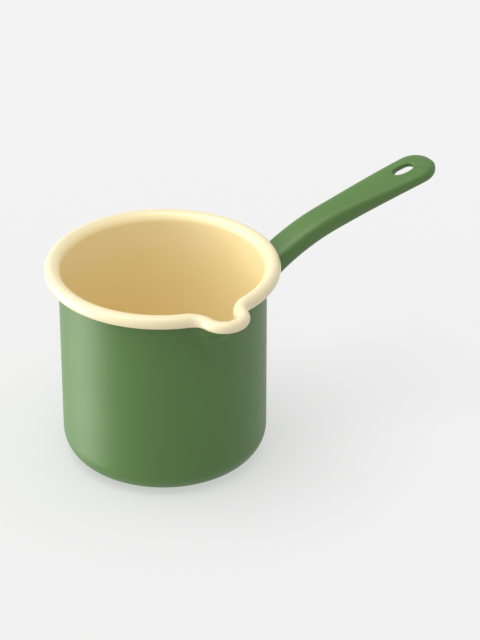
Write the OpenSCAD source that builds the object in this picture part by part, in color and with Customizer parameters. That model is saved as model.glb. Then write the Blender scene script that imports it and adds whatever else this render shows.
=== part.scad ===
// Enamelled steel melting pot: a deep-drawn pan with a rolled rim, a pouring spout and a
// hollow handle. Millimetres, +Z up. The origin is the centre of the base's underside, +X runs
// along the handle and the spout points to -Y.

/* [Pan] */
// Outside diameter of the wall, over its coat
pan_d = 120; // [100:1:150]
// Height from the base's underside to the top of the rolled rim
pan_h = 123; // [100:1:160]
// Outside radius of the corner between the wall and the base
corner_r = 16; // [10:1:22]

/* [Steel and enamel] */
// Thickness of the steel sheet
sheet_t = 0.8; // [0.6:0.1:1]
// Thickness of each enamel coat
coat_t = 0.3; // [0.2:0.05:0.4]
// Thickness of the ground coat where it shows as a line under the rim
ground_t = 0.15; // [0.1:0.05:0.2]

/* [Rolled rim] */
// Outside radius of the rolled bead, over its coat
bead_r = 4; // [3.5:0.25:5]
// Where the cream coat stops, as an angle below the level of the bead's centre
cream_edge = 54; // [46:1:56]
// Where the green coat stops on the underside of the bead, as an angle below the same level
green_edge = 60; // [58:1:70]
// Where the sheet's rolled edge ends inside the crevice, as an angle round the bead
curl_end = 165; // [155:1:170]

/* [Spout] */
// How far the spout's tip stands out from the round rim
spout_reach = 15.8; // [11:0.2:18]
// Radius of the spout's nose, to the middle of the bead
nose_r = 11.2; // [9:0.1:12]
// Radius of the curves that lead the rim into the spout
spout_fillet_r = 13; // [10:1:16]
// Height over which the spout sinks back into the wall below the rim
spout_drop = 17; // [14:1:24]
// Width of the spout where it leaves the wall, as a share of its width at the rim
spout_taper = 0.55; // [0.4:0.05:1]
// How much slimmer the bead is round the nose, as a share of its size on the round rim
spout_slim = 0.15; // [0:0.05:0.25]

/* [Handle] */
// Length of the handle's outer stretch, along its centre line
stem_len = 77.5; // [60:0.5:110]
// Slope of the handle where it leaves the wall, in degrees
root_slope = 42; // [36:1:46]
// Slope of the handle where its root bend ends, in degrees
stem_slope = 16; // [12:1:20]
// Radius of the bend at the root
root_bend_r = 130; // [110:1:150]
// Radius of the long, slow bend of the outer stretch
stem_bend_r = 1100; // [800:50:1600]
// How far below the rim's top the handle's centre line meets the wall
root_below_rim = 31; // [28:1:40]
// Width of the handle near the pan
stem_w = 19.5; // [16:0.5:21]
// Width of the handle at its flattened end
end_w = 26.5; // [22:0.5:29]
// Thickness of the handle near the pan
stem_t = 12.5; // [10:0.5:14]
// Thickness of the handle at its flattened end
end_t = 8.8; // [7:0.2:9.6]
// Height of the weld between the handle and the wall
weld_t = 1.2; // [0.8:0.1:2]
// Width of the closing weld along the underside of the handle
seam_w = 1.2; // [0.8:0.1:2]

/* [Hanging hole] */
// Length of the oval hole along the handle
hole_l = 14; // [11:0.5:16]
// Width of the oval hole
hole_w = 8; // [6:0.5:9]
// Distance from the handle's tip to the hole's far end
hole_inset = 13; // [11:0.5:17]
// Gap left between the two skins where they are pressed together round the hole
skin_gap = 0.8; // [0.6:0.1:1.2]

/* [Hidden] */
$fn = 64;
// Facets in a full turn of the corner's section
corner_fn = 40;

// Radii of the wall's layers, from the pan's axis
steel_out_r = pan_d / 2 - coat_t;
steel_mid_r = steel_out_r - sheet_t / 2;
steel_in_r = steel_out_r - sheet_t;
// Offsets of the layers' surfaces from the middle of the sheet, towards the pan's inside
steel_face = sheet_t / 2;
cream_face = steel_face + coat_t;
ground_face = steel_face + ground_t;
// The bead's centre, the flare that leads into it, and the middle of the rolled sheet
bead_x = pan_d / 2 + bead_r;
bead_z = pan_h - bead_r;
roll_r = bead_r - cream_face;
flare_r = bead_x - steel_mid_r;
flare_z = bead_z + roll_r - flare_r;
// The crevice below the bead is filled with enamel from this angle round the bead
crevice_angle = 150;
crevice_drop = 0.4;

// The spout is at full reach from the bead's underside up, and gone below spout_z
spout_top_z = bead_z - bead_r;
spout_z = spout_top_z - spout_drop;
nose_x = bead_x + spout_reach - nose_r;
fillet_x = bead_x + spout_fillet_r;
spout_half = acos((fillet_x ^ 2 + nose_x ^ 2 - (nose_r + spout_fillet_r) ^ 2) / (2 * fillet_x * nose_x));
fillet_c = fillet_x * [cos(spout_half), sin(spout_half)];
nose_c = [nose_x, 0];
nose_sweep = atan2(fillet_c.y, fillet_c.x - nose_x);
fillet_from = 180 + spout_half;
fillet_to = 180 + nose_sweep;
nose_steps = 12;
fillet_steps = 6;
level_step = spout_drop / 8;
spout_up = [0, 0, -90];
// Where the spout's faces run on inside the round wall: how far, how deep under its surface as
// a share of the layer's thickness, and how much of that depth they have where they enter
tongue_len = 2;
tongue_turn = 1.5;
tongue_share = 0.3;
tongue_start = 0.4;
// The round rim is cut away as far as the middle of the tongues
wedge_half = spout_half + tongue_turn / 2;
wedge_z = spout_z - tongue_len / 2;
// The bead slims over this share of the spout's half width, from either side of it
slim_share = 0.6;

// The handle's bend, its outer stretch and its tip
bend_len = root_bend_r * (root_slope - stem_slope) * PI / 180;
handle_len = bend_len + stem_len;
bend_end = [pan_d / 2 + root_bend_r * (sin(root_slope) - sin(stem_slope)),
            pan_h - root_below_rim + root_bend_r * (cos(stem_slope) - cos(root_slope))];
root_in = 9;
tip_from = handle_len - end_w / 2;
hole_mid = handle_len - hole_inset - hole_l / 2;
widen_from = handle_len * 0.42;
press_half = hole_l / 2 + 7;
tube_inset = coat_t + sheet_t;
press_depth = end_t - 2 * tube_inset - skin_gap;
section_points = 24;
section_power = 2 / 3.2;
swell_power = 2 / 2.2;
reach = 2 * pan_h;

function dir(a) = [cos(a), sin(a)];
function ease(t) = let (c = min(1, max(0, t))) c * c * (3 - 2 * c);
function mix(a, b, t) = a + (b - a) * t;
function unit(v) = v / norm(v);

// ---- The sheet's path up the wall, through the flare and round the bead. Each entry is
// [point, normal, tongue]; the normal points to the side that the cream coat covers, and the
// tongue is 1 where the spout reaches down inside the round wall, and 0 above it. ----

wall_levels = [for (z = [spout_z + level_step : level_step : spout_top_z + 0.01]) z];
bead_angles = concat([for (a = [90 : -18 : -36]) a], [-cream_edge, -green_edge],
                     [for (a = [-78 : -18 : -132]) a], [-crevice_angle, -curl_end]);
tongue_path = [[[steel_mid_r, spout_z - tongue_len], [-1, 0], 1],
               [[steel_mid_r, spout_z], [-1, 0], tongue_start]];
wall_path = concat(tongue_path,
                   [for (z = wall_levels) [[steel_mid_r, z], [-1, 0], 0]],
                   [for (a = [180 : -18 : 108]) [[bead_x, flare_z] + flare_r * dir(a), dir(a), 0]]);
bead_path = [for (a = bead_angles) [[bead_x, bead_z] + roll_r * dir(a), dir(a), 0]];
cream_last = search(-cream_edge, bead_angles)[0];
green_first = search(-green_edge, bead_angles)[0];
bead_last = len(bead_angles) - 1;
// The coat under the rim stops where the flare begins
coat_top = len(tongue_path) + len(wall_levels);

function flip(list) = [for (i = [len(list) - 1 : -1 : 0]) list[i]];
function part(list, a, b) = [for (i = [a : b]) list[i]];

// One face of a layer: the path moved by d along its normals. Each entry is [point, the small
// step into the layer that a tongue takes there, tongue].
function face(path, d, depth) =
    [for (i = [0 : len(path) - 1])
     let (q = path[i], n = q[1],
          end = (i == 0 ? 1 : 0) - (i == len(path) - 1 ? 1 : 0))
     [q[0] + d * n, depth * n + abs(depth) * end * [n.y, -n.x], q[2]]];

// Section outlines of the layers above spout_z: two faces that run side by side up the path.
// Each is [entries up the first face and back down the second, which way each wall is split].
function outline(first, second, splits) = [concat(first, flip(second)), concat(splits, [for (q = second) false])];
function band(path, low, high) =
    let (depth = tongue_share * (high - low))
    outline(face(path, high, -depth), face(path, low, depth), [for (q = path) true]);
steel_rim = band(concat(wall_path, bead_path), -steel_face, steel_face);
cream_rim = band(concat(wall_path, part(bead_path, 0, cream_last)), steel_face, cream_face);
ground_line = band(part(bead_path, cream_last, green_first), steel_face, ground_face);
// The green coat also fills the crevice between the wall and the bead, and then wraps the bead
green_wall = part(wall_path, 0, coat_top);
green_bead = part(bead_path, green_first, bead_last);
green_wrap = part(bead_path, green_first, bead_last - 1);
green_depth = tongue_share * coat_t;
crevice_top = [bead_x, bead_z] + bead_r * dir(-crevice_angle);
crevice_low = [pan_d / 2, crevice_top.y - crevice_drop];
crevice = [crevice_low, mix(crevice_low, crevice_top, 0.5) + [0, crevice_drop / 4]];
green_rim = outline(concat(face(green_wall, -steel_face, -green_depth),
                           flip(face(green_bead, steel_face, -green_depth))),
                    concat(face(part(green_wall, 0, coat_top - 1), -cream_face, green_depth),
                           [for (p = crevice) [p, [-green_depth, green_depth], 0]],
                           flip(face(green_wrap, cream_face, green_depth))),
                    concat([for (q = green_wall) true], [for (q = green_bead) false]));

// ---- The spout: stations along the rim from one side to the other ----

// Each is [middle of the bead seen from above, outward normal there, tongue]
function nose_station(a) = [nose_c + nose_r * dir(a), dir(a), 0];
function fillet_station(a, s) =
    [[fillet_c.x, s * fillet_c.y] + spout_fillet_r * [cos(a), s * sin(a)], [-cos(a), -s * sin(a)],
     a == fillet_from ? tongue_start : 0];
function round_station(a) = [bead_x * dir(a), dir(a), 1];
fillet_angles = [for (i = [0 : fillet_steps - 1]) mix(fillet_from, fillet_to, i / fillet_steps)];
stations = concat([round_station(-spout_half - tongue_turn)],
                  [for (a = fillet_angles) fillet_station(a, -1)],
                  [for (i = [0 : nose_steps]) nose_station(mix(-nose_sweep, nose_sweep, i / nose_steps))],
                  flip([for (a = fillet_angles) fillet_station(a, 1)]),
                  [round_station(spout_half + tongue_turn)]);

// An outline's entry carried to a station: on the round wall at the spout's foot, and on the
// spout's own outline from the underside of the bead up
function carried(s, q) =
    let (p = q[0] + q[1] * max(s[2], q[2]),
         t = ease((p.y - spout_z) / (spout_top_z - spout_z)),
         a = atan2(s[0].y, s[0].x),
         foot = dir(a * mix(spout_taper, 1, min(1, max(t, (a / spout_half) ^ 2)))),
         keep = 1 - spout_slim * t * ease((1 - abs(a) / spout_half) / slim_share),
         xy = mix(bead_x * foot, s[0], t) + unit(mix(foot, s[1], t)) * keep * (p.x - bead_x))
    [xy.x, xy.y, bead_z + keep * (p.y - bead_z)];

// A closed solid through rings of points. splits says which way each wall between two rings is
// split, so that layers which touch share their faces; cap is the faces of one end.
module swept(rings, splits, cap) {
    n = len(rings[0]);
    last = (len(rings) - 1) * n;
    walls = [for (i = [0 : len(rings) - 2], j = [0 : n - 1])
             let (a = i * n + j, b = i * n + (j + 1) % n, c = a + n, d = b + n)
             each (splits[j] ? [[a, d, b], [a, c, d]] : [[a, c, b], [b, c, d]])];
    polyhedron([for (r = rings) each r], concat(cap, walls, [for (f = cap) [for (k = flip(f)) k + last]]));
}

// The spout's share of a rim outline, with its tongues inside the round wall
module spout_part(rim) {
    n = len(rim[0]);
    cap = [for (i = [0 : n / 2 - 2]) each [[i, i + 1, n - 2 - i], [i, n - 2 - i, n - 1 - i]]];
    swept([for (s = stations) [for (q = rim[0]) carried(s, q)]], rim[1], cap);
}

// The wedge of the round rim that the spout takes the place of
module spout_wedge() {
    far = 2 * bead_x;
    translate([0, 0, wedge_z]) linear_extrude(reach)
        polygon([[0, 0], far * dir(-wedge_half), far * dir(wedge_half)]);
}

// A rim outline carried down to the corner and revolved, with its spout, turned to face -Y.
// Its children are the profile of the same layer's floor and corner.
module rim_with_spout(rim) {
    round_outline = [for (q = rim[0]) if (q[2] != tongue_start) q[2] == 0 ? q[0] : [q[0].x, corner_r]];
    rotate(spout_up) {
        difference() {
            rotate_extrude() union() {
                polygon(round_outline);
                children();
            }
            spout_wedge();
        }
        spout_part(rim);
    }
}

// The profile of one layer's floor and corner
module lower_profile(out_r, in_r, base_z) {
    flat = pan_d / 2 - corner_r;
    translate([0, base_z]) square([flat, out_r - in_r]);
    intersection() {
        translate([flat, corner_r]) difference() {
            circle(r = out_r - flat, $fn = corner_fn);
            circle(r = in_r - flat, $fn = corner_fn);
        }
        translate([flat, 0]) square([corner_r + 1, corner_r]);
    }
}

// ---- The handle: sections across its centre line ----

// [x, z, slope] at a distance u along the centre line from the wall
function spine(u) =
    u < bend_len
    ? let (a = root_slope - u / root_bend_r * 180 / PI)
      [bend_end.x - root_bend_r * (sin(a) - sin(stem_slope)),
       bend_end.y - root_bend_r * (cos(stem_slope) - cos(a)), a]
    : let (a = stem_slope - (u - bend_len) / stem_bend_r * 180 / PI)
      [bend_end.x + stem_bend_r * (sin(stem_slope) - sin(a)),
       bend_end.y + stem_bend_r * (cos(a) - cos(stem_slope)), a];

// How much of its full width and thickness the handle keeps, from the tip's start to its end
function tip_share(u, inset) = u < tip_from ? 1
    : sqrt(max(0, 1 - ((u - tip_from) / (handle_len - inset - tip_from)) ^ 2));
function half_w(u) = mix(stem_w, end_w, ease((u - widen_from) / (tip_from - widen_from))) / 2;
function half_t(u) = mix(stem_t, end_t, ease((u - widen_from) / (tip_from - widen_from))) / 2;
// How far the underside is pressed up round the hole
function press(u, y) =
    press_depth * (1 - ease((abs(u - hole_mid) - hole_l / 2) / (press_half - hole_l / 2)))
    * (1 - ease((abs(y) - hole_w / 2) / (end_w / 2 - tube_inset - hole_w / 2)));

function signed_power(v, e) = (v < 0 ? -1 : 1) * abs(v) ^ e;

// A rounded-box section, inset from the outside of the coat
function section(u, inset) =
    let (s = spine(u), k = tip_share(u, inset),
         a = (half_w(u) - inset) * k, b = (half_t(u) - inset) * k ^ swell_power)
    [for (i = [0 : section_points - 1])
     let (q = dir(360 * i / section_points),
          y = a * signed_power(q.x, section_power),
          v = b * signed_power(q.y, section_power) + (q.y < 0 ? press(u, y) * k : 0))
     [s.x - v * sin(s[2]), y, s.y + v * cos(s[2])]];

// Stations: even along the stem, closer round the tip
stem_stations = 15;
tip_stations = 6;
tip_close = 80;
function stem_u(inset) = concat(
    [for (i = [0 : stem_stations - 1]) mix(-root_in - inset, tip_from, i / stem_stations)],
    [for (i = [0 : tip_stations])
     mix(tip_from, handle_len - inset, sin(tip_close * i / tip_stations))]);

// The handle as one closed solid, inset from the outside of its coat
module handle_solid(inset) {
    ring = [for (i = [0 : section_points - 1]) i];
    swept([for (u = stem_u(inset)) section(u, inset)], [for (i = ring) true], [ring]);
}

// The oval hole, square to the handle, grown on every side by grow
module hanging_hole(grow) {
    s = spine(hole_mid);
    r = hole_w / 2 + grow;
    d = hole_l / 2 - hole_w / 2;
    translate([s.x, 0, s.y]) rotate([0, -s[2], 0]) translate([0, 0, -end_t]) {
        translate([-d, 0, 0]) cylinder(r = r, h = 2 * end_t);
        translate([d, 0, 0]) cylinder(r = r, h = 2 * end_t);
        translate([-d, -r, 0]) cube([2 * d, 2 * r, 2 * end_t]);
    }
}

// Everything within a radius of the pan's axis
module core(r) {
    cylinder(r = r, h = reach);
}

// The space under the handle's centre line, as wide as the closing weld
module seam_space() {
    us = [for (u = [-root_in : 4 : hole_mid - hole_l / 2 - 2]) spine(u)];
    rotate([90, 0, 0]) linear_extrude(seam_w, center = true)
        polygon(concat([for (s = us) [s.x, s.y]],
                       flip([for (s = us) [s.x + stem_t * sin(s[2]), s.y - stem_t * cos(s[2])]])));
}

// The handle's steel, solid all through but for the hanging hole
module steel_stem() {
    difference() {
        handle_solid(coat_t);
        hanging_hole(coat_t);
    }
}

// ---- Sub-parts ----

module body_pressing() {
    color("dimgray") rim_with_spout(steel_rim) lower_profile(steel_out_r, steel_in_r, coat_t);
}

module lining_coat() {
    color("cornsilk") rim_with_spout(cream_rim)
        lower_profile(steel_in_r, steel_in_r - coat_t, coat_t + sheet_t);
}

module ground_coat_line() {
    color("darkslategray") rim_with_spout(ground_line);
}

module wall_coat() {
    color("olivedrab") difference() {
        rim_with_spout(green_rim) lower_profile(pan_d / 2, steel_out_r, 0);
        handle_solid(coat_t);
    }
}

module handle_tube() {
    color("dimgray") difference() {
        steel_stem();
        handle_solid(tube_inset);
        core(steel_out_r + weld_t);
        seam_space();
    }
}

module seam_weld() {
    color("gray") difference() {
        intersection() {
            handle_solid(coat_t);
            seam_space();
        }
        handle_solid(tube_inset);
        core(steel_out_r + weld_t);
    }
}

module root_weld() {
    color("gray") difference() {
        intersection() {
            handle_solid(coat_t);
            core(steel_out_r + weld_t);
        }
        handle_solid(tube_inset);
        core(steel_out_r);
    }
}

module handle_coat() {
    color("olivedrab") difference() {
        handle_solid(0);
        steel_stem();
        core(pan_d / 2);
        hanging_hole(0);
    }
}

body_pressing();
lining_coat();
ground_coat_line();
wall_coat();
handle_tube();
seam_weld();
root_weld();
handle_coat();
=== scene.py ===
"""Looks of an enamelled steel melting pot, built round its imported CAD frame.

The coats of vitreous enamel are remade here as smooth, closed skins. The pressed steel, the tube and
the two welds beneath them stay the frame's own. The frame's +X runs along the handle, -Y towards the
spout's tip and +Z up the pan's axis. A skin is shaped in millimetres, and turned to metres last.
"""
import logging
from dataclasses import dataclass
from enum import Enum
from math import acos, atan2, cos, degrees, hypot, radians, sin, sqrt

import bmesh
import bpy
from mathutils import Matrix, Vector, noise


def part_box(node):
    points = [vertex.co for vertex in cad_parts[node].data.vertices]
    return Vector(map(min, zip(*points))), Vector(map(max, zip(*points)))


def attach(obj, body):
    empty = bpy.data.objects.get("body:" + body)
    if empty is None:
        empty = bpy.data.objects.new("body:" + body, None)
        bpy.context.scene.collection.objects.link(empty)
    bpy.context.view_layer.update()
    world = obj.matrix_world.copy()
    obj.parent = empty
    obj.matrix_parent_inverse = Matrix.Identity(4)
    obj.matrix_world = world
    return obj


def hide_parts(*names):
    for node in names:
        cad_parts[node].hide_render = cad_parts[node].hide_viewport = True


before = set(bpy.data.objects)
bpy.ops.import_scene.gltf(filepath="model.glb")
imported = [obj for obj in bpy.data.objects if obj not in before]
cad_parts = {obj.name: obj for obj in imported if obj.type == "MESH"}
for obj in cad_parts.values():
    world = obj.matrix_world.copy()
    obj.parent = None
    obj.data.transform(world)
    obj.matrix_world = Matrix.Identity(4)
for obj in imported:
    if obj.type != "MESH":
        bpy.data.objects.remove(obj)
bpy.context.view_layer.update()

MM = 0.001
CLOSE = 0.0005
# How far below the rim's top, in millimetres, the handle's centre line meets the wall
ROOT_BELOW_RIM = 31.0

log = logging.getLogger("melting_pot")


# ---------------------------------------------------------------------------------------------
# Numbers and colours
# ---------------------------------------------------------------------------------------------


def linear(hex_colour: str, alpha: float = 1.0) -> tuple[float, float, float, float]:
    """Turns an sRGB hex colour to the linear numbers that shaders use.

    Args:
        hex_colour: six hex digits, such as "F3E2B4".
        alpha: opacity of the result.

    Returns:
        Linear red, green and blue, and alpha.
    """
    channels = [int(hex_colour[i:i + 2], 16) / 255 for i in (0, 2, 4)]
    red, green, blue = [c / 12.92 if c <= 0.04045 else ((c + 0.055) / 1.055) ** 2.4 for c in channels]
    return red, green, blue, alpha


def ease(share: float) -> float:
    """Gives a smooth step from 0 to 1 as share goes from 0 to 1."""
    held = min(1.0, max(0.0, share))
    return held * held * (3 - 2 * held)


def mix(low: float, high: float, share: float) -> float:
    """Gives the number that lies a share of the way from low to high."""
    return low + (high - low) * share


def toward(angle: float) -> Vector:
    """Gives the flat unit vector at an angle in degrees."""
    return Vector((cos(radians(angle)), sin(radians(angle))))


# ---------------------------------------------------------------------------------------------
# Finishes
# ---------------------------------------------------------------------------------------------


def add_node(tree: bpy.types.NodeTree, kind: str, inputs: dict | None = None, **settings) -> bpy.types.Node:
    """Adds one shader node with its settings and its links.

    Args:
        tree: the node tree that gets it.
        kind: the node's type name.
        inputs: values or output sockets for its inputs, by name or number.
        **settings: attributes of the node itself.

    Returns:
        The new node.
    """
    node = tree.nodes.new(kind)
    for name, value in settings.items():
        setattr(node, name, value)
    for name, value in (inputs or {}).items():
        socket = node.inputs[name]
        if isinstance(value, bpy.types.NodeSocket):
            tree.links.new(value, socket)
        else:
            socket.default_value = value
    return node


@dataclass(frozen=True)
class Finish:
    """What every finish has: a name, and a way to become a material."""

    name: str

    def shade(self, tree: bpy.types.NodeTree, surface: bpy.types.Node) -> None:
        """Sets the surface shader's values and adds the nodes that feed it.

        Args:
            tree: the material's node tree.
            surface: its Principled shader.
        """
        raise NotImplementedError

    def material(self) -> bpy.types.Material:
        """Builds the material.

        Returns:
            A new material with this finish.
        """
        made = bpy.data.materials.new(self.name)
        made.use_nodes = True
        self.shade(made.node_tree, made.node_tree.nodes["Principled BSDF"])
        return made


@dataclass(frozen=True)
class VitreousEnamel(Finish):
    """Opaque glass fused on steel: dipped, drained and fired, so it is glossy and never quite flat."""

    body: str
    deep: str
    roughness: float
    drift_mm: float = 26.0
    ripple_mm: float = 5.5
    ripple_height_mm: float = 0.006
    glass_ior: float = 1.5
    # Painted shade and sheen on the rolled rim: a darker, less yellow cream blended in by radius
    brim: str | None = None
    brim_r_mm: float = 63.0

    def shade(self, tree: bpy.types.NodeTree, surface: bpy.types.Node) -> None:
        """Gives the glass its colour, the slow drift of its thickness and its fine ripple.

        Args:
            tree: the material's node tree.
            surface: its Principled shader.
        """
        place = add_node(tree, "ShaderNodeTexCoord").outputs["Object"]
        # Where the slip drained thicker the colour is deeper: this is a slow, faint drift
        drift = add_node(tree, "ShaderNodeTexNoise", {
            "Vector": place, "Scale": 1 / (self.drift_mm * MM), "Detail": 2.0, "Roughness": 0.4})
        colour = add_node(tree, "ShaderNodeMix", {
            "Factor": drift.outputs["Fac"], "A": linear(self.body), "B": linear(self.deep)}, data_type="RGBA")
        if self.brim:
            # Painted shade and sheen: on the rolled rim the cream is made darker, to offset the overhead
            # light, and less yellow, standing in for the pale sheen of its gloss
            across = add_node(tree, "ShaderNodeVectorMath", {0: place, 1: (1, 1, 0)}, operation="MULTIPLY")
            out = add_node(tree, "ShaderNodeVectorMath", {0: across.outputs["Vector"]}, operation="LENGTH")
            share = add_node(tree, "ShaderNodeMapRange", {
                "Value": out.outputs["Value"], "From Min": (self.brim_r_mm - 4) * MM,
                "From Max": self.brim_r_mm * MM})
            colour = add_node(tree, "ShaderNodeMix", {
                "Factor": share.outputs["Result"], "A": colour.outputs["Result"], "B": linear(self.brim)},
                data_type="RGBA")
        # The fired glass keeps a soft ripple, which bends its highlights a little
        ripple = add_node(tree, "ShaderNodeTexNoise", {
            "Vector": place, "Scale": 1 / (self.ripple_mm * MM), "Detail": 1.0, "Roughness": 0.3})
        bump = add_node(tree, "ShaderNodeBump", {
            "Height": ripple.outputs["Fac"], "Strength": 1.0, "Distance": self.ripple_height_mm * MM})
        gloss = add_node(tree, "ShaderNodeMapRange", {
            "Value": drift.outputs["Fac"], "To Min": self.roughness * 0.93, "To Max": self.roughness * 1.07})
        links = tree.links
        links.new(colour.outputs["Result"], surface.inputs["Base Color"])
        links.new(bump.outputs["Normal"], surface.inputs["Normal"])
        links.new(gloss.outputs["Result"], surface.inputs["Roughness"])
        surface.inputs["IOR"].default_value = self.glass_ior


@dataclass(frozen=True)
class GroundEnamel(Finish):
    """The dark first coat, cobalt glass that grips the steel, shown as a thin, blackish line: partly the real
    ground coat, partly painted shade under the rolled bead.
    """

    body: str
    speck: str
    speck_mm: float = 0.7
    roughness: float = 0.38
    glass_ior: float = 1.5

    def shade(self, tree: bpy.types.NodeTree, surface: bpy.types.Node) -> None:
        """Gives the coat its near-black colour and the paler specks that firing leaves.

        Args:
            tree: the material's node tree.
            surface: its Principled shader.
        """
        place = add_node(tree, "ShaderNodeTexCoord").outputs["Object"]
        specks = add_node(tree, "ShaderNodeTexNoise", {
            "Vector": place, "Scale": 1 / (self.speck_mm * MM), "Detail": 2.0})
        share = add_node(tree, "ShaderNodeMapRange", {
            "Value": specks.outputs["Fac"], "From Min": 0.55, "From Max": 0.75})
        colour = add_node(tree, "ShaderNodeMix", {
            "Factor": share.outputs["Result"], "A": linear(self.body), "B": linear(self.speck)},
            data_type="RGBA")
        tree.links.new(colour.outputs["Result"], surface.inputs["Base Color"])
        surface.inputs["Roughness"].default_value = self.roughness
        surface.inputs["IOR"].default_value = self.glass_ior


@dataclass(frozen=True)
class PickledSteel(Finish):
    """Low-carbon steel sheet, drawn and then pickled in acid: grey metal with a fine, matt tooth."""

    body: str
    roughness: float
    tooth_mm: float = 0.4
    tooth_height_mm: float = 0.01

    def shade(self, tree: bpy.types.NodeTree, surface: bpy.types.Node) -> None:
        """Gives the metal its grey and the fine tooth that enamel grips.

        Args:
            tree: the material's node tree.
            surface: its Principled shader.
        """
        place = add_node(tree, "ShaderNodeTexCoord").outputs["Object"]
        tooth = add_node(tree, "ShaderNodeTexNoise", {
            "Vector": place, "Scale": 1 / (self.tooth_mm * MM), "Detail": 3.0})
        bump = add_node(tree, "ShaderNodeBump", {
            "Height": tooth.outputs["Fac"], "Strength": 1.0, "Distance": self.tooth_height_mm * MM})
        tree.links.new(bump.outputs["Normal"], surface.inputs["Normal"])
        surface.inputs["Base Color"].default_value = linear(self.body)
        surface.inputs["Metallic"].default_value = 1.0
        surface.inputs["Roughness"].default_value = self.roughness


@dataclass(frozen=True)
class BacklitSweep(Finish):
    """A translucent white table lit from below: even and pale, with only a short, soft shadow."""

    body: str
    shade_of_grain: str
    glow: float
    grain_mm: float = 2.0

    def shade(self, tree: bpy.types.NodeTree, surface: bpy.types.Node) -> None:
        """Gives the floor its colour and its grain.

        Args:
            tree: the material's node tree.
            surface: its Principled shader.
        """
        place = add_node(tree, "ShaderNodeTexCoord").outputs["Object"]
        grain = add_node(tree, "ShaderNodeTexNoise", {
            "Vector": place, "Scale": 1 / (self.grain_mm * MM), "Detail": 2.0})
        colour = add_node(tree, "ShaderNodeMix", {
            "Factor": grain.outputs["Fac"], "A": linear(self.body), "B": linear(self.shade_of_grain)},
            data_type="RGBA")
        tree.links.new(colour.outputs["Result"], surface.inputs["Base Color"])
        surface.inputs["Roughness"].default_value = 0.95
        surface.inputs["Specular IOR Level"].default_value = 0.0
        surface.inputs["Emission Color"].default_value = linear("FFFFFF")
        surface.inputs["Emission Strength"].default_value = self.glow


# The cream's rim colour is painted light: darker and less yellow than the lining, for how the rim catches
# light
CREAM = VitreousEnamel("cream_vitreous_enamel", body="F0DFB0", deep="EDDBA8", roughness=0.26,
                       brim="D8CBA6")
GREEN = VitreousEnamel("green_vitreous_enamel", body="466A2C", deep="426529", roughness=0.42)
GROUND = GroundEnamel("cobalt_ground_enamel_and_shade", body="15181C", speck="3A4036")
SHEET_STEEL = PickledSteel("pickled_steel_sheet", body="6E6E70", roughness=0.45)
WELD_STEEL = PickledSteel("pickled_weld_steel", body="636366", roughness=0.6, tooth_height_mm=0.04)
FLOOR_SWEEP = BacklitSweep("backlit_white_table", body="A6A6A6", shade_of_grain="A4A4A4", glow=0.49)


# ---------------------------------------------------------------------------------------------
# Making a skin
# ---------------------------------------------------------------------------------------------


def finish_mesh(mesh: bmesh.types.BMesh, name: str) -> bpy.types.Object:
    """Turns a shape in millimetres to a smooth object in metres, at the origin.

    Args:
        mesh: the shape, which is freed.
        name: the object's name.

    Returns:
        The new object, linked to the scene.
    """
    bmesh.ops.recalc_face_normals(mesh, faces=mesh.faces)
    for face in mesh.faces:
        face.smooth = True
    bmesh.ops.scale(mesh, vec=(MM, MM, MM), verts=mesh.verts)
    data = bpy.data.meshes.new(name)
    mesh.to_mesh(data)
    mesh.free()
    made = bpy.data.objects.new(name, data)
    bpy.context.scene.collection.objects.link(made)
    return made


def draw_on(mesh: bmesh.types.BMesh, edges: list[bmesh.types.BMEdge]) -> tuple[list, list]:
    """Extrudes a closed chain of edges in place.

    Args:
        mesh: the mesh that holds the chain.
        edges: the chain's edges.

    Returns:
        The new chain's vertices, and its edges.
    """
    drawn = bmesh.ops.extrude_edge_only(mesh, edges=edges)["geom"]
    verts = [item for item in drawn if isinstance(item, bmesh.types.BMVert)]
    ring = set(verts)
    chain = [item for item in drawn if isinstance(item, bmesh.types.BMEdge) and ring.issuperset(item.verts)]
    return verts, chain


def dress(piece: bpy.types.Object, material: bpy.types.Material) -> None:
    """Gives a piece or a frame node one material all over."""
    piece.data.materials.clear()
    piece.data.materials.append(material)


class Side(Enum):
    """Which side of an arc in the sheet's path the pan's inside lies on."""

    CENTRE = -1
    OUTWARD = 1


@dataclass(frozen=True)
class Bend:
    """A round stretch of the sheet's path, seen in section: height over distance from the axis."""

    centre: tuple[float, float]
    radius: float
    start: float
    turn: float
    steps: int
    inside: Side

    def at(self, lift: float) -> float:
        """Gives the bend's radius on a face that is lifted off the sheet's middle, towards the inside."""
        return self.radius + lift * self.inside.value


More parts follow.
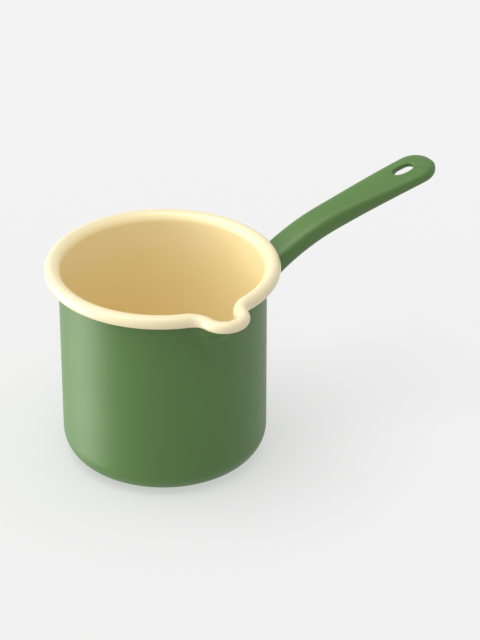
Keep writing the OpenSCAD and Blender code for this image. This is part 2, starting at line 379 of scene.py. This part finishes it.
class Pen:
    """Draws a section outline point by point, in the plane of the axis and +X."""

    def __init__(self, mesh: bmesh.types.BMesh, start: tuple[float, float]) -> None:
        """Starts an outline.

        Args:
            mesh: the mesh that gets the outline's edges.
            start: distance from the axis, and height.
        """
        self.mesh = mesh
        self.tip = mesh.verts.new((start[0], 0, start[1]))

    def line_to(self, point: tuple[float, float], steps: int = 1) -> None:
        """Draws a straight run of equal edges to a point."""
        step = (Vector((point[0], 0, point[1])) - self.tip.co) / steps
        for _ in range(steps):
            drawn = bmesh.ops.extrude_vert_indiv(self.mesh, verts=[self.tip])
            self.tip = drawn["verts"][0]
            self.tip.co += step

    def arc(self, centre: tuple[float, float], turn: float, steps: int) -> None:
        """Draws an arc about a centre, through a turn in degrees, positive from +X towards +Z."""
        drawn = bmesh.ops.spin(
            self.mesh, geom=[self.tip], cent=(centre[0], 0, centre[1]), axis=(0, -1, 0),
            angle=radians(turn), steps=steps)
        self.tip = next(item for item in drawn["geom_last"] if isinstance(item, bmesh.types.BMVert))

    def follow(self, bend: Bend, lift: float, back: bool = False, rows: int = 1) -> None:
        """Draws up to a bend and round it, on a face lifted off the sheet's middle.

        Args:
            bend: the bend.
            lift: the face's distance from the sheet's middle, towards the pan's inside.
            back: True to go round it from its end to its start.
            rows: number of edges on the straight run that leads to it.
        """
        radius = bend.at(lift)
        first = bend.start + bend.turn if back else bend.start
        corner = Vector(bend.centre) + radius * toward(first)
        if (Vector((self.tip.co.x, self.tip.co.z)) - corner).length > CLOSE:
            self.line_to(corner, rows)
        self.arc(bend.centre, -bend.turn if back else bend.turn, bend.steps)


@dataclass(frozen=True)
class Spout:
    """The pouring spout: a round nose led into by two hollow curves, which sinks back into the wall."""

    bead_x: float
    bead_z: float
    top_z: float
    reach: float
    nose_r: float = 11.2
    fillet_r: float = 13.0
    drop: float = 17.0
    taper: float = 0.55
    slim: float = 0.15
    slim_share: float = 0.6

    @property
    def nose_x(self) -> float:
        """Distance from the pan's axis to the nose's centre."""
        return self.bead_x + self.reach - self.nose_r

    @property
    def foot_z(self) -> float:
        """Height at which the spout has sunk back into the wall."""
        return self.top_z - self.drop

    @property
    def half(self) -> float:
        """Angle, in degrees, from the spout's middle to where it leaves the round rim."""
        out = self.bead_x + self.fillet_r
        cosine = (out ** 2 + self.nose_x ** 2 - (self.nose_r + self.fillet_r) ** 2) / (2 * out * self.nose_x)
        return degrees(acos(cosine))

    def station(self, share: float) -> tuple[Vector, Vector]:
        """Gives a place along the spout's rim.

        Args:
            share: from -1 at one side, by 0 at the tip, to 1 at the other.

        Returns:
            The middle of the bead seen from above, and the outward direction there.
        """
        fillet = (self.bead_x + self.fillet_r) * toward(self.half)
        sweep = degrees(atan2(fillet.y, fillet.x - self.nose_x))
        nose_len = self.nose_r * radians(sweep)
        fillet_len = self.fillet_r * radians(sweep - self.half)
        along = abs(share) * (nose_len + fillet_len)
        if along <= nose_len:
            out = toward(degrees(along / self.nose_r))
            middle = Vector((self.nose_x, 0)) + self.nose_r * out
        else:
            out = toward(sweep - degrees((along - nose_len) / self.fillet_r))
            middle = fillet - self.fillet_r * out
        side = Vector((1, -1 if share < 0 else 1))
        return middle * side, out * side

    def carry(self, point: Vector) -> Vector:
        """Moves a point of the round pan to where it lies once the spout is formed.

        Args:
            point: a point of the pan before the spout is formed, with the spout's side at +X.

        Returns:
            The same point on the spout, or the point itself outside the spout's sector.
        """
        angle = degrees(atan2(point.y, point.x))
        if abs(angle) >= self.half or hypot(point.x, point.y) < CLOSE:
            return point.copy()
        middle, out = self.station(angle / self.half)
        rise = ease((point.z - self.foot_z) / self.drop)
        spread = degrees(atan2(middle.y, middle.x))
        held = min(1.0, max(rise, (spread / self.half) ** 2))
        foot = toward(spread * mix(self.taper, 1, held))
        flat = (self.bead_x * foot).lerp(middle, rise)
        # The rolled bead is slimmer round the nose, where the sheet was stretched
        keep = 1 - self.slim * rise * ease((1 - abs(spread) / self.half) / self.slim_share)
        flat += foot.lerp(out, rise).normalized() * keep * (hypot(point.x, point.y) - self.bead_x)
        return Vector((flat.x, flat.y, mix(self.bead_z, point.z, keep)))


@dataclass(frozen=True)
class Pan:
    """The pressed pan: one sheet's path from the floor's middle to its rolled rim, and its coats."""

    rim_out_r: float
    height: float
    spout_out: float
    corner_r: float = 16.0
    bead_r: float = 4.0
    sheet_t: float = 0.8
    coat_t: float = 0.3
    ground_t: float = 0.15
    # The cream stops high on the bead, so a wide dark band shows beneath it: part ground coat, part painted
    # shade
    cream_edge: float = 43.0
    green_edge: float = 60.0
    crevice_angle: float = 150.0
    crevice_drop: float = 0.4
    edge_wander: float = 3.5
    edge_hold: float = 14.0
    lip_steps: int = 4
    plain_rows: int = 3
    back_steps: int = 200
    spout_steps: int = 80
    spout_rows: int = 16
    bead_steps: int = 24

    @property
    def wall_r(self) -> float:
        """Outside radius of the coated wall."""
        return self.rim_out_r - 2 * self.bead_r

    @property
    def face(self) -> float:
        """Distance from the sheet's middle to the outside of a coat."""
        return self.sheet_t / 2 + self.coat_t

    @property
    def bead(self) -> tuple[float, float]:
        """Centre of the rolled bead, in section."""
        return self.rim_out_r - self.bead_r, self.height - self.bead_r

    @property
    def spout(self) -> Spout:
        """The spout formed in this pan's rim."""
        reach = self.spout_out - self.bead[0] - self.bead_r * (1 - Spout.slim)
        return Spout(*self.bead, self.bead[1] - self.bead_r, reach)

    @property
    def corner(self) -> Bend:
        """The bend between the floor and the wall."""
        flat = self.wall_r - self.corner_r
        return Bend((flat, self.corner_r), self.corner_r - self.face, -90, 90, 14, Side.CENTRE)

    @property
    def flare(self) -> Bend:
        """The bend that turns the wall outwards into the bead."""
        middle_r = self.wall_r - self.face
        radius = self.bead[0] - middle_r
        top = self.bead[1] + self.bead_r - self.face
        return Bend((self.bead[0], top - radius), radius, 180, -90, 14, Side.OUTWARD)

    def roll(self, start: float, end: float, steps: int) -> Bend:
        """Gives a stretch of the bead between two angles, as drawn from its top outwards."""
        return Bend(self.bead, self.bead_r - self.face, start, end - start, steps, Side.OUTWARD)

    def wander(self, angle: float) -> float:
        """Gives how far the coats' drained edges stray at an angle round the pan, from -1 to 1."""
        round_it = Vector((cos(angle), sin(angle), 0))
        slow = noise.noise(round_it * 6.0)
        quick = noise.noise(round_it * 23.0 + Vector((3, 1, 7)))
        return max(-1.0, min(1.0, 1.1 * slow + 0.8 * quick))

    def stray(self, mesh: bmesh.types.BMesh, edge: float) -> None:
        """Lets a coat's edge under the bead stray a little, as enamel does where it drained.

        Args:
            mesh: the coat, before its spout is formed.
            edge: the angle round the bead where the coat stops, below its centre's level.
        """
        for vert in mesh.verts:
            out = hypot(vert.co.x, vert.co.y)
            arm = Vector((out - self.bead[0], vert.co.z - self.bead[1]))
            if out < self.wall_r + 1 or arm.length > self.bead_r + 0.5:
                continue
            angle = degrees(atan2(arm.y, arm.x))
            near = 1 - min(1.0, abs(angle + edge) / self.edge_hold)
            turn = near * self.edge_wander * self.wander(atan2(vert.co.y, vert.co.x))
            arm = arm.length * toward(angle + turn)
            scale = (self.bead[0] + arm.x) / out
            vert.co = Vector((vert.co.x * scale, vert.co.y * scale, self.bead[1] + arm.y))

    def spin(self, mesh: bmesh.types.BMesh) -> None:
        """Spins a drawn section round the axis, closely over the spout, and closes its seam and poles."""
        half = self.spout.half
        bmesh.ops.rotate(mesh, verts=mesh.verts, matrix=Matrix.Rotation(radians(half), 3, "Z"))
        section = [*mesh.verts, *mesh.edges]
        rear = bmesh.ops.spin(
            mesh, geom=section, axis=(0, 0, 1), angle=radians(360 - 2 * half), steps=self.back_steps)
        bmesh.ops.spin(
            mesh, geom=rear["geom_last"], axis=(0, 0, 1), angle=radians(2 * half), steps=self.spout_steps)
        bmesh.ops.remove_doubles(mesh, verts=mesh.verts, dist=CLOSE)

    def form(self, mesh: bmesh.types.BMesh, name: str) -> bpy.types.Object:
        """Forms the spout in a spun coat, turns it to the frame's -Y and finishes the mesh."""
        spout = self.spout
        for vert in mesh.verts:
            vert.co = spout.carry(vert.co)
        bmesh.ops.rotate(mesh, verts=mesh.verts, matrix=Matrix.Rotation(radians(-90), 3, "Z"))
        return finish_mesh(mesh, name)

    def lining(self) -> bpy.types.Object:
        """Builds the cream cover coat, over the whole inside and round the rolled rim."""
        mesh = bmesh.new()
        back = self.sheet_t / 2
        lip = self.coat_t / 2
        floor = self.coat_t + self.sheet_t
        bead = self.roll(90, -self.cream_edge, self.bead_steps)
        pen = Pen(mesh, (0, floor + self.coat_t))
        pen.line_to((self.wall_r - self.corner_r, floor + self.coat_t), self.plain_rows)
        pen.follow(self.corner, self.face)
        pen.line_to((self.wall_r - 2 * self.face, self.spout.foot_z), self.plain_rows)
        pen.follow(self.flare, self.face, rows=self.spout_rows)
        pen.follow(bead, self.face)
        # The coat's edge is a small round lip
        pen.arc(self.on_roll(-self.cream_edge, back + lip), -180, self.lip_steps)
        pen.follow(bead, back, back=True)
        pen.follow(self.flare, back, back=True)
        pen.line_to((self.wall_r - 2 * self.face + self.coat_t, self.spout.foot_z), self.spout_rows)
        pen.follow(self.corner, back, back=True, rows=self.plain_rows)
        pen.line_to((0, floor), self.plain_rows)
        self.spin(mesh)
        self.stray(mesh, self.cream_edge)
        return self.form(mesh, "lining_skin")

    def on_roll(self, angle: float, lift: float) -> tuple[float, float]:
        """Gives the point of the bead at an angle, on a face lifted off the sheet's middle."""
        point = Vector(self.bead) + (self.bead_r - self.face + lift) * toward(angle)
        return point.x, point.y

    def wall(self) -> bpy.types.Object:
        """Builds the green cover coat, from the base's underside to the crevice under the bead."""
        mesh = bmesh.new()
        face = self.face
        back = self.sheet_t / 2
        lip = self.coat_t / 2
        under = self.roll(-self.crevice_angle, -self.green_edge, 20)
        crevice = self.on_roll(-self.crevice_angle, face)
        low = crevice[1] - self.crevice_drop
        pen = Pen(mesh, (0, 0))
        pen.line_to((self.wall_r - self.corner_r, 0), self.plain_rows)
        pen.follow(self.corner, -face)
        pen.line_to((self.wall_r, self.spout.foot_z), self.plain_rows)
        pen.line_to((self.wall_r, low), self.spout_rows)
        # Enamel drains into the crevice and fills its root with a small fillet
        pen.line_to((mix(self.wall_r, crevice[0], 0.35), mix(low, crevice[1], 0.75)))
        pen.follow(under, face)
        pen.arc(self.on_roll(-self.green_edge, back + lip), 180, self.lip_steps)
        pen.follow(under, back, back=True)
        pen.line_to((self.wall_r - self.coat_t, low + self.crevice_drop), 2)
        pen.line_to((self.wall_r - self.coat_t, self.spout.foot_z), self.spout_rows)
        pen.follow(self.corner, -back, back=True, rows=self.plain_rows)
        pen.line_to((0, self.coat_t), self.plain_rows)
        self.spin(mesh)
        self.stray(mesh, self.green_edge)
        return self.form(mesh, "wall_skin")

    def ground_line(self) -> bpy.types.Object:
        """Builds the dark ring between the cream and the green: partly the ground coat that shows there,
        partly painted shade under the bead.
        """
        mesh = bmesh.new()
        tuck = 2.0
        ring = self.roll(-self.cream_edge + tuck, -self.green_edge - tuck, 8)
        back = self.sheet_t / 2
        pen = Pen(mesh, self.on_roll(ring.start, back + self.ground_t))
        pen.follow(ring, back + self.ground_t)
        pen.line_to(self.on_roll(ring.start + ring.turn, back))
        pen.follow(ring, back, back=True)
        pen.line_to(self.on_roll(ring.start, back + self.ground_t))
        bmesh.ops.remove_doubles(mesh, verts=mesh.verts, dist=CLOSE)
        self.spin(mesh)
        return self.form(mesh, "ground_line_and_shade_skin")


@dataclass(frozen=True)
class Handle:
    """The handle: a round-cornered tube, bent up from the wall and flattened at its pierced end."""

    wall_r: float
    root_z: float
    half_end_w: float
    stem_len: float = 77.5
    root_slope: float = 42.0
    stem_slope: float = 16.0
    root_bend_r: float = 130.0
    stem_bend_r: float = 1100.0
    stem_w: float = 19.5
    stem_t: float = 12.5
    end_t: float = 8.8
    hole_l: float = 14.0
    hole_w: float = 8.0
    hole_inset: float = 13.0
    pressed_t: float = 3.0
    lip_r: float = 0.9
    weld_r: float = 2.2
    seam_w: float = 1.6
    seam_h: float = 0.12
    corner_power: float = 3.2
    hole_power: float = 2.3
    widen_share: float = 0.42
    press_run: float = 7.0
    tube_inset: float = 1.1
    patch_run: float = 4.5
    patch_side: float = 3.0
    seat_run: float = 40.0
    seam_fade: float = 8.0
    dome_power: float = 2 / 2.2
    around: int = 160
    dome_steps: int = 22
    skin_rows: int = 8
    lip_rows: int = 6
    weld_rows: int = 9
    weld_sweep: float = 81.0
    seat_tries: int = 40

    @property
    def bend_len(self) -> float:
        """Length of the root bend along the centre line."""
        return self.root_bend_r * radians(self.root_slope - self.stem_slope)

    @property
    def length(self) -> float:
        """Length of the whole handle along its centre line, from the wall."""
        return self.bend_len + self.stem_len

    @property
    def dome_from(self) -> float:
        """Distance along the centre line at which the rounded tip starts."""
        return self.length - self.half_end_w

    @property
    def hole_u(self) -> float:
        """Distance along the centre line to the hanging hole's middle."""
        return self.length - self.hole_inset - self.hole_l / 2

    def spine(self, along: float) -> tuple[float, float, float]:
        """Gives the centre line's place.

        Args:
            along: distance along it from the wall.

        Returns:
            Distance from the pan's axis, height, and slope in degrees.
        """
        steep = radians(self.root_slope)
        turned = radians(self.stem_slope)
        end_x = self.wall_r + self.root_bend_r * (sin(steep) - sin(turned))
        end_z = self.root_z + self.root_bend_r * (cos(turned) - cos(steep))
        past = along - self.bend_len
        radius = self.root_bend_r if past < 0 else self.stem_bend_r
        slope = self.stem_slope - degrees(past / radius)
        x = end_x + radius * (sin(turned) - sin(radians(slope)))
        z = end_z + radius * (cos(radians(slope)) - cos(turned))
        return x, z, slope

    def bent(self, point: Vector) -> Vector:
        """Carries a point of the straight handle to its place on the bent one."""
        x, z, slope = self.spine(point.x)
        lean = radians(slope)
        return Vector((x - point.z * sin(lean), point.y, z + point.z * cos(lean)))

    def girth(self, along: float) -> tuple[float, float]:
        """Gives the half width and half thickness of the section, tip dome included."""
        start = self.widen_share * self.length
        share = ease((along - start) / (self.dome_from - start))
        wide = mix(self.stem_w / 2, self.half_end_w, share)
        thick = mix(self.stem_t, self.end_t, share) / 2
        if along > self.dome_from:
            kept = sqrt(max(0.0, 1 - ((along - self.dome_from) / self.half_end_w) ** 2))
            wide *= kept
            thick *= kept ** self.dome_power
        return wide, thick

    def press(self, along: float, across: float) -> float:
        """Gives how far the underside is pressed up towards the top skin round the hole."""
        lengthwise = 1 - ease((abs(along - self.hole_u) - self.hole_l / 2) / self.press_run)
        rim = self.hole_w / 2
        sideways = 1 - ease((abs(across) - rim) / (self.half_end_w - self.tube_inset - rim))
        kept = self.girth(along)[1] / (self.end_t / 2) if along > self.dome_from else 1.0
        return (self.end_t - self.pressed_t) * lengthwise * sideways * kept

    def height_at(self, along: float, across: float, top: bool) -> float:
        """Gives the height of the straight handle's top or underside over its middle plane."""
        wide, thick = self.girth(along)
        side = min(1.0, abs(across) / wide) if wide > CLOSE else 1.0
        rise = thick * (1 - side ** self.corner_power) ** (1 / self.corner_power)
        return rise if top else self.press(along, across) - rise

    def sectioned(self, point: Vector) -> Vector:
        """Moves a point of the unit blank to the straight handle's rounded section.

        Args:
            point: distance along the handle, and the unit direction from its centre line.

        Returns:
            The point of the straight handle.
        """
        wide, thick = self.girth(point.x)
        if wide < CLOSE or thick < CLOSE:
            return Vector((point.x, 0, 0))
        power = self.corner_power
        spread = (abs(point.y / wide) ** power + abs(point.z / thick) ** power) ** (-1 / power)
        y = point.y * spread
        z = point.z * spread
        if point.z < 0:
            z += self.press(point.x, y)
            seam = 1 - ease(abs(y) / (self.seam_w / 2))
            start = ease((self.hole_u - self.hole_l - point.x) / self.seam_fade)
            z -= self.seam_h * seam * start
        return Vector((point.x, y, z))

    def blank(self, mesh: bmesh.types.BMesh) -> None:
        """Draws a straight tube out from the wall to the tip, station by station, and closes its ends."""
        weld_turn = self.weld_sweep / self.weld_rows
        weld = [self.weld_r * (1 - cos(radians(weld_turn * i))) for i in range(1, self.weld_rows + 1)]
        stem = list(range(3, int(self.dome_from)))
        dome = [mix(self.dome_from, self.length, sin(radians(90 * i / self.dome_steps)))
                for i in range(self.dome_steps + 1)]
        ring = bmesh.ops.create_circle(
            mesh, segments=self.around, radius=1, cap_ends=True,
            matrix=Matrix.Rotation(radians(90), 4, "Y"))["verts"]
        edges = list({edge for vert in ring for edge in vert.link_edges})
        here = 0.0
        for station in [*weld, *stem, *dome]:
            ring, edges = draw_on(mesh, edges)
            bmesh.ops.translate(mesh, verts=ring, vec=(station - here, 0, 0))
            here = station

    def pierce(self, mesh: bmesh.types.BMesh) -> None:
        """Pierces the hanging hole through both skins, with a rounded lip at each end of it."""
        patches = {top: self.patch(mesh, top) for top in (True, False)}
        rims = [self.open_skin(mesh, patch, top) for top, patch in patches.items()]
        bmesh.ops.bridge_loops(mesh, edges=[edge for rim in rims for edge in rim])

    def patch(self, mesh: bmesh.types.BMesh, top: bool) -> set[bmesh.types.BMFace]:
        """Finds the faces of one skin round the hole.

        Args:
            mesh: the straight handle, with its normals known.
            top: True for the top skin, False for the underside.

        Returns:
            The faces that the hole and its lip take the place of.
        """
        found = set()
        for face in mesh.faces:
            middle = face.calc_center_median()
            near = abs(middle.x - self.hole_u) < self.hole_l / 2 + self.patch_run
            beside = abs(middle.y) < self.hole_w / 2 + self.patch_side
            if near and beside and (face.normal.z > 0) == top:
                found.add(face)
        return found

    def open_skin(self, mesh: bmesh.types.BMesh, inside: set[bmesh.types.BMFace],
                  top: bool) -> list[bmesh.types.BMEdge]:
        """Opens one skin round the hole and turns its edge inwards.

        Args:
            mesh: the straight handle.
            inside: the faces that the hole and its lip take the place of.
            top: True for the top skin, False for the underside.

        Returns:
            The edges of the turned-in rim.
        """
        border = [edge for edge in {edge for face in inside for edge in face.edges}
                  if not inside.issuperset(edge.link_faces)]
        bmesh.ops.delete(mesh, geom=list(inside), context="FACES")
        starts = {vert: vert.co.copy() for edge in border for vert in edge.verts}
        for step in range(1, self.skin_rows + 1):
            verts, border = draw_on(mesh, border)
            starts = {vert: self.origin_of(vert, starts) for vert in verts}
            for vert, first in starts.items():
                arm = Vector((first.x - self.hole_u, first.y))
                flat = arm.lerp(self.oval(arm, self.lip_r), step / self.skin_rows)
                vert.co = self.on_skin(flat, top)
        for step in range(1, self.lip_rows + 1):
            turn = radians(90 * step / self.lip_rows)
            verts, border = draw_on(mesh, border)
            starts = {vert: self.origin_of(vert, starts) for vert in verts}
            for vert, first in starts.items():
                arm = Vector((first.x - self.hole_u, first.y))
                flat = self.oval(arm, self.lip_r * (1 - sin(turn)))
                height = self.on_skin(self.oval(arm, self.lip_r), top).z
                height += self.lip_r * (1 - cos(turn)) * (-1 if top else 1)
                vert.co = Vector((flat.x + self.hole_u, flat.y, height))
        return border

    def on_skin(self, flat: Vector, top: bool) -> Vector:
        """Gives the point of one skin that lies over a flat vector from the hole's middle."""
        along = flat.x + self.hole_u
        return Vector((along, flat.y, self.height_at(along, flat.y, top)))

    def oval(self, arm: Vector, grow: float) -> Vector:
        """Gives the point of the hole's outline that an arm from its middle points to.

        Args:
            arm: a flat vector from the hole's middle to a place outside it.
            grow: how far outside the hole the outline runs.

        Returns:
            The flat vector from the hole's middle to the outline.
        """
        half_l = self.hole_l / 2 + grow
        half_w = self.hole_w / 2 + grow
        power = self.hole_power
        size = (abs(arm.x / half_l) ** power + abs(arm.y / half_w) ** power) ** (1 / power)
        return arm / size

    @staticmethod
    def origin_of(vert: bmesh.types.BMVert, starts: dict) -> Vector:
        """Gives the point on the opening's border that a new vertex was drawn from."""
        return next(starts[other] for other in (edge.other_vert(vert) for edge in vert.link_edges)
                    if other in starts)

    def seat(self, point: Vector) -> Vector:
        """Bends a point of the straight handle, and fits the root to the round wall with a weld's fillet.

        Args:
            point: a point of the straight handle.

        Returns:
            Its place in the frame, in millimetres.
        """
        if point.x > self.seat_run:
            return self.bent(point)
        low, high = -20.0, 20.0
        for _ in range(self.seat_tries):
            middle = (low + high) / 2
            tried = self.bent(Vector((middle, point.y, point.z)))
            if hypot(tried.x, tried.y) < self.wall_r:
                low = middle
            else:
                high = middle
        moved = point.x + low * (1 - point.x / self.seat_run) ** 2
        placed = self.bent(Vector((moved, point.y, point.z)))
        clear = max(0.0, hypot(placed.x, placed.y) - self.wall_r)
        if clear < self.weld_r:
            out = Vector((0, point.y / (self.stem_w / 2) ** 2, point.z / (self.stem_t / 2) ** 2))
            out.normalize()
            placed += out * (self.weld_r - sqrt(self.weld_r ** 2 - (self.weld_r - clear) ** 2))
            placed.x = sqrt((self.wall_r + clear) ** 2 - placed.y ** 2)
        return placed

    def skin(self) -> bpy.types.Object:
        """Builds the handle's green coat as one closed skin."""
        mesh = bmesh.new()
        self.blank(mesh)
        for vert in mesh.verts:
            vert.co = self.sectioned(vert.co)
        bmesh.ops.remove_doubles(mesh, verts=mesh.verts, dist=CLOSE)
        bmesh.ops.recalc_face_normals(mesh, faces=mesh.faces)
        self.pierce(mesh)
        for vert in mesh.verts:
            vert.co = self.seat(vert.co)
        return finish_mesh(mesh, "handle_skin")


# ---------------------------------------------------------------------------------------------
# The studio
# ---------------------------------------------------------------------------------------------


def direction(azimuth: float, elevation: float) -> Vector:
    """Gives the unit vector from the pan towards a place round it, from two angles in degrees."""
    turn, rise = radians(azimuth), radians(elevation)
    return Vector((sin(turn) * cos(rise), -cos(turn) * cos(rise), sin(rise)))


@dataclass(frozen=True)
class Sun:
    """A broad, even light from far away, such as a large softbox gives."""

    name: str
    azimuth: float
    elevation: float
    angle: float
    strength: float

    def hang(self) -> bpy.types.Object:
        """Adds the light to the scene and returns it."""
        data = bpy.data.lights.new(self.name, "SUN")
        data.angle = radians(self.angle)
        data.energy = self.strength
        made = bpy.data.objects.new(self.name, data)
        made.rotation_euler = direction(self.azimuth, self.elevation).to_track_quat("Z", "Y").to_euler()
        bpy.context.scene.collection.objects.link(made)
        return made


@dataclass(frozen=True)
class Studio:
    """A plain pale floor, a broad soft light from the left, and the camera."""

    azimuth: float = -31.2
    elevation: float = 29.81
    distance_mm: float = 1600.0
    target_mm: tuple[float, float, float] = (38.0, -23.0, 84.1)
    lens: float = 155.1
    floor_half_m: float = 6.0
    key: "Sun" = Sun("broad_key", azimuth=-118.0, elevation=38.0, angle=70.0, strength=1.8)
    bounce: "Sun" = Sun("table_bounce", azimuth=-124.0, elevation=-8.0, angle=60.0, strength=2.7)
    top: "Sun" = Sun("overhead", azimuth=-100.0, elevation=76.0, angle=50.0, strength=1.15)
    fill: str = "F4F4F4"
    fill_strength: float = 0.8

    def camera(self) -> None:
        """Places the camera and makes it the scene's own."""
        data = bpy.data.cameras.new("camera")
        data.lens = self.lens
        data.sensor_width = 36
        data.clip_end = 100
        made = bpy.data.objects.new("camera", data)
        back = direction(self.azimuth, self.elevation)
        made.location = (Vector(self.target_mm) + self.distance_mm * back) * MM
        made.rotation_euler = back.to_track_quat("Z", "Y").to_euler()
        bpy.context.scene.collection.objects.link(made)
        bpy.context.scene.camera = made

    def lights(self, floor: bpy.types.Object) -> None:
        """Sets the even surroundings, a light overhead, the broad key at the left and its bounce.

        Args:
            floor: the floor, which the key light and the bounce skip, so that its shadow stays short.
        """
        world = bpy.data.worlds.new("pale_studio")
        world.use_nodes = True
        background = world.node_tree.nodes["Background"]
        background.inputs["Color"].default_value = linear(self.fill)
        background.inputs["Strength"].default_value = self.fill_strength
        bpy.context.scene.world = world
        self.top.hang()
        skipped = bpy.data.collections.new("lights_skip")
        skipped.objects.link(floor)
        skipped.collection_objects[0].light_linking.link_state = "EXCLUDE"
        self.key.hang().light_linking.receiver_collection = skipped
        # The bright table at the left throws light up on the pan, so the floor doesn't block it
        bounce = self.bounce.hang()
        bounce.light_linking.receiver_collection = skipped
        bounce.light_linking.blocker_collection = skipped

    def floor(self) -> bpy.types.Object:
        """Lays the plain pale floor that the pan stands on."""
        mesh = bmesh.new()
        bmesh.ops.create_grid(mesh, x_segments=2, y_segments=2, size=self.floor_half_m)
        data = bpy.data.meshes.new("floor")
        mesh.to_mesh(data)
        mesh.free()
        made = bpy.data.objects.new("floor", data)
        bpy.context.scene.collection.objects.link(made)
        dress(made, FLOOR_SWEEP.material())
        return made


# ---------------------------------------------------------------------------------------------
# The whole pot
# ---------------------------------------------------------------------------------------------


@dataclass
class MeltingPot:
    """The pot: its pan and its handle, sized from the frame, and the steel that the frame carries."""

    pan: Pan
    handle: Handle

    @classmethod
    def from_frame(cls) -> "MeltingPot":
        """Takes the pan's and the handle's driving sizes from the frame's boxes."""
        rim_low, rim_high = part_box("lining_coat")
        handle_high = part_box("handle_coat")[1]
        pan = Pan(rim_high.y / MM, rim_high.z / MM, -rim_low.y / MM)
        return cls(pan, Handle(pan.wall_r, pan.height - ROOT_BELOW_RIM, handle_high.y / MM))

    def add(self, piece: bpy.types.Object, node: str, slot: str, material: bpy.types.Material) -> None:
        """Dresses a new piece, sets it to stand for a frame node, and reports it.

        Args:
            piece: the new piece.
            node: the frame node that it stands for.
            slot: the record's material slot; not used.
            material: its material.
        """
        dress(piece, material)
        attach(piece, "root")
        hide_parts(node)
        log.info("%s stands for %s with %d faces", piece.name, node, len(piece.data.polygons))

    def build(self) -> None:
        """Builds every coat and dresses the steel that the frame carries."""
        cream = CREAM.material()
        green = GREEN.material()
        self.add(self.pan.lining(), "lining_coat", "cream_enamel", cream)
        self.add(self.pan.ground_line(), "ground_coat_line", "ground_enamel", GROUND.material())
        self.add(self.pan.wall(), "wall_coat", "green_enamel", green)
        self.add(self.handle.skin(), "handle_coat", "green_enamel", green)
        sheet = SHEET_STEEL.material()
        weld = WELD_STEEL.material()
        steel = {"body_pressing": sheet, "handle_tube": sheet, "seam_weld": weld, "root_weld": weld}
        for node, material in steel.items():
            dress(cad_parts[node], material)
            log.info("%s keeps the frame's shape", node)


def main() -> None:
    """Builds the studio and the pot, in order."""
    logging.basicConfig(level=logging.INFO, format="%(name)s: %(message)s")
    bpy.context.scene.view_settings.view_transform = "Standard"
    studio = Studio()
    studio.camera()
    studio.lights(studio.floor())
    MeltingPot.from_frame().build()


if __name__ == "__main__":
    main()
